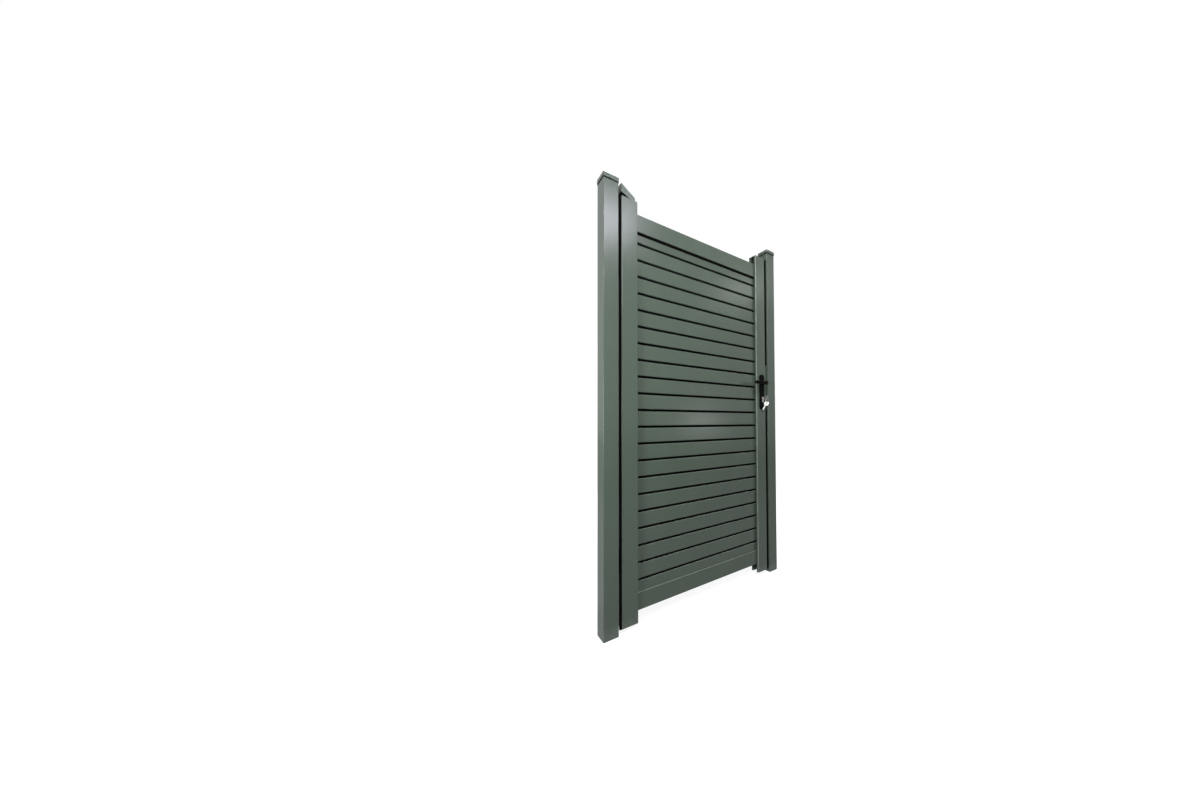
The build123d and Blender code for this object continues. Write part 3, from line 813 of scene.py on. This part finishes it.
@dataclass
class LockSet:
    """Handle plates, levers, profile cylinder and plug."""

    finishes: Finishes
    screws: Screws
    plate_thickness: float = 8 * MM
    plate_edge: float = 2.6 * MM
    plate_screw_inset: float = 15 * MM
    collar_radius: float = 13 * MM
    collar_height: float = 2 * MM
    lever_tip: float = 7 * MM
    lever_front_edge: float = 3.6 * MM
    lever_rear_edge: float = 2.2 * MM
    arm_depth: float = 12 * MM
    neck_radius: float = 8.6 * MM
    cylinder_radius: float = 8.5 * MM
    cylinder_web: float = 10 * MM
    cylinder_drop: float = 19.5 * MM
    plug_radius: float = 6.45 * MM
    keyway: Point = (2.6 * MM, 13 * MM, 9 * MM)
    cylinder_play: float = 0.25 * MM
    cutter_length: float = 120 * MM
    bore_play: float = 0.15 * MM
    bore_length: float = 36 * MM

    def __post_init__(self) -> None:
        """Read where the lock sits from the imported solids."""
        low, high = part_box("lock_plug")
        self.x = (low.x + high.x) / 2
        self.cylinder_z = (low.z + high.z) / 2
        low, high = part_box("front_lever")
        self.lever_z = (low.z + high.z) / 2
        self.stile_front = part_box("latch_stile")[0].y
        self.rear = (Matrix.Translation((self.x, 0, 0)) @ Matrix.Rotation(math.pi, 4, "Z")
                     @ Matrix.Translation((-self.x, 0, 0)))

    def profile(self, name: str, length: float, grow: float) -> Workpiece:
        """Return a profile cylinder's body, larger all round by some play."""
        body = Workpiece.rod(name, (self.x, 0, self.cylinder_z), self.cylinder_radius + grow, length, Lie.Y, 56)
        half = self.cylinder_web / 2 + grow
        foot = self.cylinder_z - self.cylinder_drop
        web = Workpiece.block("web", (self.x - half, -length / 2, foot), (self.x + half, length / 2, self.cylinder_z))
        end = Workpiece.rod("web_end", (self.x, 0, foot), half, length, Lie.Y, 40)
        return body.weld(web, end)

    def plate(self) -> Workpiece:
        """Return the front backplate: round ends, pillowed front edge, cut for the cylinder."""
        low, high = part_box("front_handle_plate")
        front = self.stile_front - self.plate_thickness
        half = (high.x - low.x) / 2
        plate = Workpiece.block("plate_pattern", (low.x, front, low.z), (high.x, self.stile_front, high.z))
        plate.edges(through).bevel(half - 0.1 * MM, 14)
        plate.edges(lambda a, b: max(a.y, b.y) < front + TOUCH).bevel(self.plate_edge, 5)
        collar = Workpiece.rod("collar", (self.x, front - self.collar_height / 2 + 1 * MM, self.lever_z),
                               self.collar_radius, self.collar_height + 2 * MM, Lie.Y, 48)
        collar.edges(lambda a, b: max(a.y, b.y) < front).bevel(0.9 * MM, 3)
        plate.weld(collar)
        return plate.cut(self.profile("cylinder_cutter", self.cutter_length, self.cylinder_play))

    def lever(self) -> Workpiece:
        """Return the front lever: a round-edged arm that thins to its tip, on a flared neck."""
        low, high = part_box("front_lever")
        back = low.y + self.arm_depth
        arm = Workpiece.block("lever_pattern", low, (high.x, back, high.z))
        arm.edges(through).bevel(self.lever_tip, 8)
        middle_y = low.y + self.arm_depth / 2
        tip = low.x + 2 * self.lever_tip
        arm.points(lambda p: p.x < tip).resize((1, 0.86, 0.94), (tip, middle_y, self.lever_z))
        clear_bench()
        arm.faces(lambda middle, normal: normal.y < -0.9)
        bpy.ops.mesh.region_to_loop()
        arm.bevel(self.lever_front_edge, 5)
        arm.faces(lambda middle, normal: normal.y > 0.9 and middle.y > middle_y)
        bpy.ops.mesh.region_to_loop()
        arm.bevel(self.lever_rear_edge, 4)
        plate_front = self.stile_front - self.plate_thickness
        length = plate_front + 4 * MM - (back + 8 * MM)
        centre = (self.x, plate_front + 4 * MM - length / 2, self.lever_z)
        neck = Workpiece.rod("neck", centre, self.neck_radius, length, Lie.Y, 40)
        neck.faces(lambda middle, normal: normal.y < -0.9)
        hub = (self.x, back, self.lever_z)
        for step, widen in ((4 * MM, 1.02), (3 * MM, 1.05), (3 * MM, 1.0)):
            neck.extrude((0, -step, 0)).resize((widen, 1, widen), hub)
        clear_bench()
        return arm.weld(neck)

    def build(self) -> None:
        """Make the furniture on both faces, and the cylinder and plug between them."""
        black = self.finishes.by_slot[Slot.BLACK]
        nickel = self.finishes.by_slot[Slot.NICKEL]
        plate = self.plate()
        plate.copy("pillowed_rear_handle_plate", self.rear).fit(Body.LEAF, Slot.BLACK, black, ["rear_handle_plate"])
        plate.copy("pillowed_front_handle_plate", Matrix()).fit(Body.LEAF, Slot.BLACK, black, ["front_handle_plate"])
        plate.discard()
        lever = self.lever()
        lever.copy("round_rear_lever", Matrix.Scale(-1, 4, (0, 1, 0))).fit(
            Body.LEVERS, Slot.BLACK, black, ["rear_lever"])
        lever.copy("round_front_lever", Matrix()).fit(Body.LEVERS, Slot.BLACK, black, ["front_lever"])
        lever.discard()
        low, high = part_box("front_handle_plate")
        face = self.stile_front - self.plate_thickness
        for end, z in (("upper", high.z - self.plate_screw_inset), ("lower", low.z + self.plate_screw_inset)):
            for side, y, facing, turn in (("front", face, Facing.FRONT, 0.4), ("rear", -face, Facing.REAR, 0.9)):
                self.screws.drive(f"{side}_plate_{end}_screw", (self.x, y, z), facing, Body.LEAF, Slot.BLACK, turn)
        low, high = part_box("lock_cylinder")
        cylinder = self.profile("profile_cylinder", high.y - low.y, 0.0)
        wide, deep, tall = (size / 2 for size in self.keyway)
        bore = Workpiece.rod("bore", (self.x, low.y, self.cylinder_z), self.plug_radius + self.bore_play,
                             self.bore_length, Lie.Y, 56)
        rear_way = Workpiece.block("rear_way", (self.x - wide, high.y - 2 * deep, self.cylinder_z - tall),
                                   (self.x + wide, high.y + 1 * MM, self.cylinder_z + tall))
        cylinder.cut(bore, rear_way).soften(0.5 * MM, 2)
        cylinder.fit(Body.LEAF, Slot.NICKEL, nickel, ["lock_cylinder"])
        low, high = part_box("lock_plug")
        centre = (self.x, (low.y + high.y) / 2, self.cylinder_z)
        plug = Workpiece.rod("turning_plug", centre, self.plug_radius, high.y - low.y, Lie.Y, 56)
        way = Workpiece.block("way", (self.x - wide, low.y - 1 * MM, self.cylinder_z - tall),
                              (self.x + wide, low.y + 2 * deep, self.cylinder_z + tall))
        plug.cut(way).soften(0.35 * MM, 2)
        plug.fit(Body.KEY, Slot.NICKEL, nickel, ["lock_plug"])


@dataclass
class KeyBunch:
    """The key in the lock, its ring and the spare key that hangs on it."""

    finishes: Finishes
    lock: LockSet
    bow: float = 24 * MM
    bow_corner: float = 7.5 * MM
    hole_offset: float = 5.25 * MM
    hole_radius: float = 3.75 * MM
    thickness: float = 2.2 * MM
    blade_length: float = 28 * MM
    blade_width: float = 8.6 * MM
    notch: float = 1.6 * MM
    notch_pitch: float = 3.6 * MM
    notch_count: int = 5
    ring_radius: float = 11 * MM
    ring_wire: float = 0.44 * MM
    ring_turns: float = 1.9
    bow_y: float = -60 * MM
    spare_drop: float = 7.3 * MM
    spare_twist: float = math.radians(-60)
    spare_tilt: float = math.radians(-30)

    def pattern(self) -> Workpiece:
        """Return a key that stands on its tip, its flat facing front and rear."""
        half, thick = self.bow / 2, self.thickness / 2
        key = Workpiece.block("key_pattern", (-half, -thick, -half), (half, thick, half))
        key.edges(through).bevel(self.bow_corner, 8)
        for side in (-1, 1):
            key.faces(lambda middle, normal: normal.y * side > 0.9)
            key.inset(1.8 * MM, 0.0).inset(0.5 * MM, -0.3 * MM)
        clear_bench()
        edge = self.blade_width / 2
        tip = -half - self.blade_length
        blade = Workpiece.block("blade", (-edge, -thick, tip), (edge, thick, -half + 4 * MM))
        blade.points(lambda p: p.z < tip + TOUCH).resize((0.55, 0.8, 1), (0, 0, tip))
        clear_bench()
        blade.bisect((0, 0, tip + 4 * MM), (0, 0, 1))
        blade.points(lambda p: abs(p.z - tip - 4 * MM) < TOUCH).resize((1.06, 1.02, 1), (0, 0, tip))
        clear_bench()
        for count in range(self.notch_count):
            z = tip + 6 * MM + count * self.notch_pitch
            deep = self.notch * (1.0 + 0.35 * math.sin(2.1 * count))
            tool = Workpiece.rod("notch_cutter", (edge, 0, z), deep * 1.3, 6 * MM, Lie.Y, 4)
            blade.cut(tool)
        for side, across in ((-1, -0.8 * MM), (1, 1.4 * MM)):
            low = (across - 0.6 * MM, side * thick - 0.5 * MM, tip - 1 * MM)
            high = (across + 0.6 * MM, side * thick + 0.5 * MM, -half - 1 * MM)
            blade.cut(Workpiece.block("groove_cutter", low, high))
        key.weld(blade)
        hole = Workpiece.rod("hole_cutter", (0, 0, self.hole_offset), self.hole_radius, 8 * MM, Lie.Y, 32)
        return key.cut(hole).soften(0.25 * MM, 2, 40.0)

    def ring(self, centre: Vector) -> Workpiece:
        """Return a split ring of two flat turns about a point."""
        clear_bench()
        bpy.ops.mesh.primitive_circle_add(vertices=10, radius=self.ring_wire, location=(self.ring_radius, 0, 0))
        coil = Workpiece(bpy.context.object)
        bpy.ops.object.transform_apply(location=True, rotation=True, scale=True)
        turns = self.ring_turns
        coil.modify("SCREW", axis="Y", angle=turns * 2 * math.pi, screw_offset=turns * 2 * self.ring_wire,
                    steps=int(turns * 64), render_steps=int(turns * 64), use_merge_vertices=False)
        coil.enter("EDGE")
        bpy.ops.mesh.select_non_manifold()
        bpy.ops.mesh.edge_face_add()
        bpy.ops.mesh.select_all(action="SELECT")
        bpy.ops.mesh.normals_make_consistent(inside=False)
        clear_bench()
        coil.obj.data.transform(Matrix.Translation(centre - Vector((0, turns * self.ring_wire, 0))))
        coil.obj.name = coil.obj.data.name = "split_ring"
        return coil

    def build(self) -> None:
        """Make the ring, and both keys from one pattern."""
        nickel = self.finishes.by_slot[Slot.NICKEL]
        low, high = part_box("key_ring")
        centre = (low + high) / 2
        key = self.pattern()
        in_lock = Matrix(((0, -1, 0, self.lock.x), (0, 0, -1, self.bow_y), (1, 0, 0, self.lock.cylinder_z),
                          (0, 0, 0, 1)))
        key.copy("milled_key", in_lock).fit(Body.KEY, Slot.NICKEL, nickel, ["key"])
        twist, tilt = self.spare_twist, self.spare_tilt
        across = Vector((math.cos(twist) * math.cos(tilt), math.sin(twist) * math.cos(tilt), math.sin(tilt)))
        out = Vector((math.sin(twist), -math.cos(twist), 0))
        rise = out.cross(across)
        bow = centre - Vector((0, 0, self.ring_radius)) - rise * self.spare_drop
        hung = Matrix.Identity(4)
        for column, axis in enumerate((across, -out, rise)):
            for row in range(3):
                hung[row][column] = axis[row]
        spare = key.copy("milled_spare_key", Matrix.Translation(bow) @ hung)
        spare.fit(Body.HANGING, Slot.NICKEL, nickel, ["spare_key"])
        key.discard()
        self.ring(centre).fit(Body.HANGING, Slot.NICKEL, nickel, ["key_ring"])


@dataclass
class Ironwork:
    """Screws and pin heads of the hinges, the forend and the keeper."""

    finishes: Finishes
    screws: Screws
    hinge_screw_y: float = 8 * MM
    hinge_screw_rise: float = 32 * MM
    hinge_screw_stagger: float = 6 * MM
    leaf_thickness: float = 3 * MM
    barrel_radius: float = 7.5 * MM
    pin_radius: float = 4.6 * MM
    pin_height: float = 3.4 * MM
    rail_screw_rise: float = 20 * MM
    forend_screw_inset: float = 10 * MM
    keeper_screw_insets: tuple[float, float] = (22 * MM, 12 * MM)

    def hinges(self) -> None:
        """Drive three screws into each hinge leaf and set a head on each end of each pin."""
        for hinge in ("upper", "lower"):
            post_low, post_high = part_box(f"{hinge}_hinge_post_leaf")
            middle = (post_low.z + post_high.z) / 2
            post_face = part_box("hinge_post")[1].x + self.leaf_thickness
            gate_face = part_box("hinge_stile")[0].x - self.leaf_thickness
            for count, rise in enumerate((-1, 0, 1)):
                z = middle + rise * self.hinge_screw_rise
                y = self.hinge_screw_y - (self.hinge_screw_stagger if rise == 0 else 0)
                self.screws.drive(f"{hinge}_post_leaf_screw_{count + 1}", (post_face, y, z), Facing.LATCH_SIDE,
                                  Body.POSTS, Slot.LOCK, 0.3 * count)
                self.screws.drive(f"{hinge}_gate_leaf_screw_{count + 1}", (gate_face, y, z), Facing.HINGE_SIDE,
                                  Body.LEAF, Slot.LOCK, 0.5 - 0.4 * count)
            x, y = post_high.x - self.barrel_radius, post_high.y - self.barrel_radius
            for end, z, way in (("top", post_high.z, 1), ("foot", post_low.z, -1)):
                pin = Workpiece.rod(f"{hinge}_hinge_pin_{end}", (x, y, z + way * self.pin_height / 2),
                                    self.pin_radius, self.pin_height, Lie.Z, 32)
                rim = z * way + self.pin_height - TOUCH
                pin.edges(lambda a, b: min(a.z * way, b.z * way) > rim).bevel(1.6 * MM, 4)
                pin.fit(Body.POSTS, Slot.HINGE, self.finishes.by_slot[Slot.HINGE])

    def lock_edge(self) -> None:
        """Drive the screws of the forend, the keeper and the rail ends."""
        low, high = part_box("lock_forend")
        for end, z in (("upper", high.z - self.forend_screw_inset), ("lower", low.z + self.forend_screw_inset)):
            self.screws.drive(f"forend_{end}_screw", (high.x, 0, z), Facing.LATCH_SIDE, Body.LEAF, Slot.LOCK, 0.2)
        low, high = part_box("latch_keeper")
        upper, lower = self.keeper_screw_insets
        for end, z in (("upper", high.z - upper), ("lower", low.z + lower)):
            self.screws.drive(f"keeper_{end}_screw", (low.x, 0, z), Facing.HINGE_SIDE, Body.POSTS, Slot.LOCK, 0.6)
        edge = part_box("latch_stile")[1].x
        for rail in ("top", "bottom"):
            low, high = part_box(f"{rail}_rail")
            middle = (low.z + high.z) / 2
            for end, rise in (("upper", 1), ("lower", -1)):
                self.screws.drive(f"{rail}_rail_{end}_screw", (edge, 0, middle + rise * self.rail_screw_rise),
                                  Facing.LATCH_SIDE, Body.LEAF, Slot.LOCK, 0.7 * rise)

    def build(self) -> None:
        """Make all of it."""
        self.hinges()
        self.lock_edge()


@dataclass
class Studio:
    """Pale floor, soft light and the camera at the photograph's viewing angle."""

    image: tuple[int, int] = (1200, 800)
    focal_pixels: float = 328.80
    centre: tuple[float, float] = (688.41, 416.21)
    yaw: float = math.radians(37.18)
    pitch: float = math.radians(1.163)
    roll: float = math.radians(-0.309)
    stand: Point = (-0.553052, -1.27597, 0.862255)
    sensor: float = 36.0
    floor_fade: tuple[float, float] = (1.2, 5.0)

    def camera(self) -> None:
        """Place the camera."""
        forward = Vector((math.sin(self.yaw) * math.cos(self.pitch), math.cos(self.yaw) * math.cos(self.pitch),
                          math.sin(self.pitch)))
        right = Vector((math.cos(self.yaw), -math.sin(self.yaw), 0))
        up = right.cross(forward)
        across = math.cos(self.roll) * right + math.sin(self.roll) * up
        above = math.cos(self.roll) * up - math.sin(self.roll) * right
        data = bpy.data.cameras.new("gate_camera")
        data.sensor_fit = "HORIZONTAL"
        data.sensor_width = self.sensor
        data.lens = self.focal_pixels * self.sensor / self.image[0]
        data.shift_x = (self.image[0] / 2 - self.centre[0]) / self.image[0]
        data.shift_y = (self.centre[1] - self.image[1] / 2) / self.image[0]
        data.clip_start = 0.01
        camera = bpy.data.objects.new("gate_camera", data)
        turn = Matrix((across, above, -forward)).transposed().to_4x4()
        camera.matrix_world = Matrix.Translation(self.stand) @ turn
        bpy.context.scene.collection.objects.link(camera)
        bpy.context.scene.camera = camera

    def lamp(self, name: str, place: Point, aim: Point, size: tuple[float, float], power: float,
             colour: Colour) -> None:
        """Hang a soft rectangular lamp."""
        data = bpy.data.lights.new(name, "AREA")
        data.shape = "RECTANGLE"
        data.size, data.size_y = size
        data.energy = power
        data.color = colour
        lamp = bpy.data.objects.new(name, data)
        lamp.visible_camera = False
        lamp.location = place
        lamp.rotation_euler = (Vector(aim) - Vector(place)).to_track_quat("-Z", "Y").to_euler()
        bpy.context.scene.collection.objects.link(lamp)

    def seen(self, graph: FinishGraph) -> Signal:
        """Return 1 for rays that show the background: camera, glossy and transmission rays."""
        path = graph.add("ShaderNodeLightPath")
        shown = graph.out(path, "Is Camera Ray").larger(graph.out(path, "Is Glossy Ray"))
        return shown.larger(graph.out(path, "Is Transmission Ray"))

    def world(self) -> None:
        """Make the backdrop white where it shows and a soft grey dome where it lights."""
        world = bpy.data.worlds.new("studio")
        bpy.context.scene.world = world
        graph = FinishGraph(world)
        dome = graph.add("ShaderNodeBackground", sockets={"Color": solid((0.94, 0.97, 1.0)), "Strength": 0.1})
        white = graph.add("ShaderNodeBackground", sockets={"Color": solid((1, 1, 1)), "Strength": 1.0})
        mixed = graph.add("ShaderNodeMixShader", sockets={0: self.seen(graph), 1: dome.outputs[0],
                                                          2: white.outputs[0]})
        graph.close(mixed.outputs[0])

    def floor(self) -> None:
        """Lay the pale floor, which keeps the gate's shadow."""
        clear_bench()
        bpy.ops.mesh.primitive_plane_add(size=40)
        floor = bpy.context.object
        floor.name = "studio_floor"
        graph = FinishGraph(bpy.data.materials.new("pale_floor"))
        matt = graph.add("ShaderNodeBsdfDiffuse", sockets={"Color": solid((0.16, 0.16, 0.16))})
        path = graph.add("ShaderNodeLightPath")
        reach = graph.add("ShaderNodeVectorMath", {"operation": "LENGTH"}, {0: graph.place()})
        far = graph.ramp(graph.out(reach, "Value"), *self.floor_fade)
        shown = (0.86 + 0.14 * far) * graph.out(path, "Is Camera Ray") + 0.45 * graph.out(path, "Is Glossy Ray")
        glow = graph.add("ShaderNodeEmission", sockets={"Strength": shown})
        both = graph.add("ShaderNodeAddShader", sockets={0: matt.outputs[0], 1: glow.outputs[0]})
        graph.close(both.outputs[0])
        floor.data.materials.append(graph.owner)

    def build(self) -> None:
        """Set up the studio."""
        bpy.context.scene.view_settings.view_transform = "Standard"
        self.camera()
        self.world()
        self.floor()
        self.lamp("ceiling_lamp", (0.66, -1.75, 2.8), (-0.05, 0, 1.66), (0.6, 0.2), 10, (1.0, 0.93, 1.12))
        self.lamp("front_softbox", (-0.3, -1.9, 2.5), (0.1, 0, 1.4), (1.4, 1.0), 58, (1.0, 0.99, 0.99))
        self.lamp("left_softbox", (-1.15, -0.5, 0.95), (0.0, 0, 0.92), (0.35, 0.5), 23, (0.94, 0.98, 1.0))
        self.lamp("overhead_strip", (0.62, -0.35, 5.0), (0.62, -0.35, 0), (1.2, 0.24), 230, (1.0, 0.97, 1.04))
        self.lamp("window_glint", (2.2, -2.1, 0.88), (0.5, 0, 0.87), (0.2, 0.2), 1.8, (1.0, 0.99, 0.98))
        self.lamp("rear_softbox", (0.9, 2.8, 1.2), (0.5, 0, 0.95), (1.8, 1.4), 58, (1.0, 1.0, 1.0))
        self.lamp("latch_side_softbox", (3.0, 0.5, 1.3), (1.0, 0, 0.95), (1.0, 1.4), 30, (1.0, 1.0, 1.0))
        self.lamp("sky_glint", (2.24, -1.43, 2.4), (0.77, 0, 1.59), (0.4, 0.2), 1.2, (0.94, 1.0, 0.93))


def main() -> None:
    """Build the gate's looks and its studio."""
    logging.basicConfig(level=logging.INFO, format="%(name)s: %(message)s")
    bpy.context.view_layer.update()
    finishes = Finishes()
    finishes.dress_solids(frame["record"]["subparts"])
    Studio().build()
    SlatInfill(finishes).build()
    EdgeShadeStrips(finishes).build()
    PostCaps(finishes).build()
    WedgeCap(finishes).build()
    screws = Screws(finishes)
    lock = LockSet(finishes, screws)
    lock.build()
    KeyBunch(finishes, lock).build()
    Ironwork(finishes, screws).build()
    screws.pattern.discard()


if __name__ == "__main__":
    main()
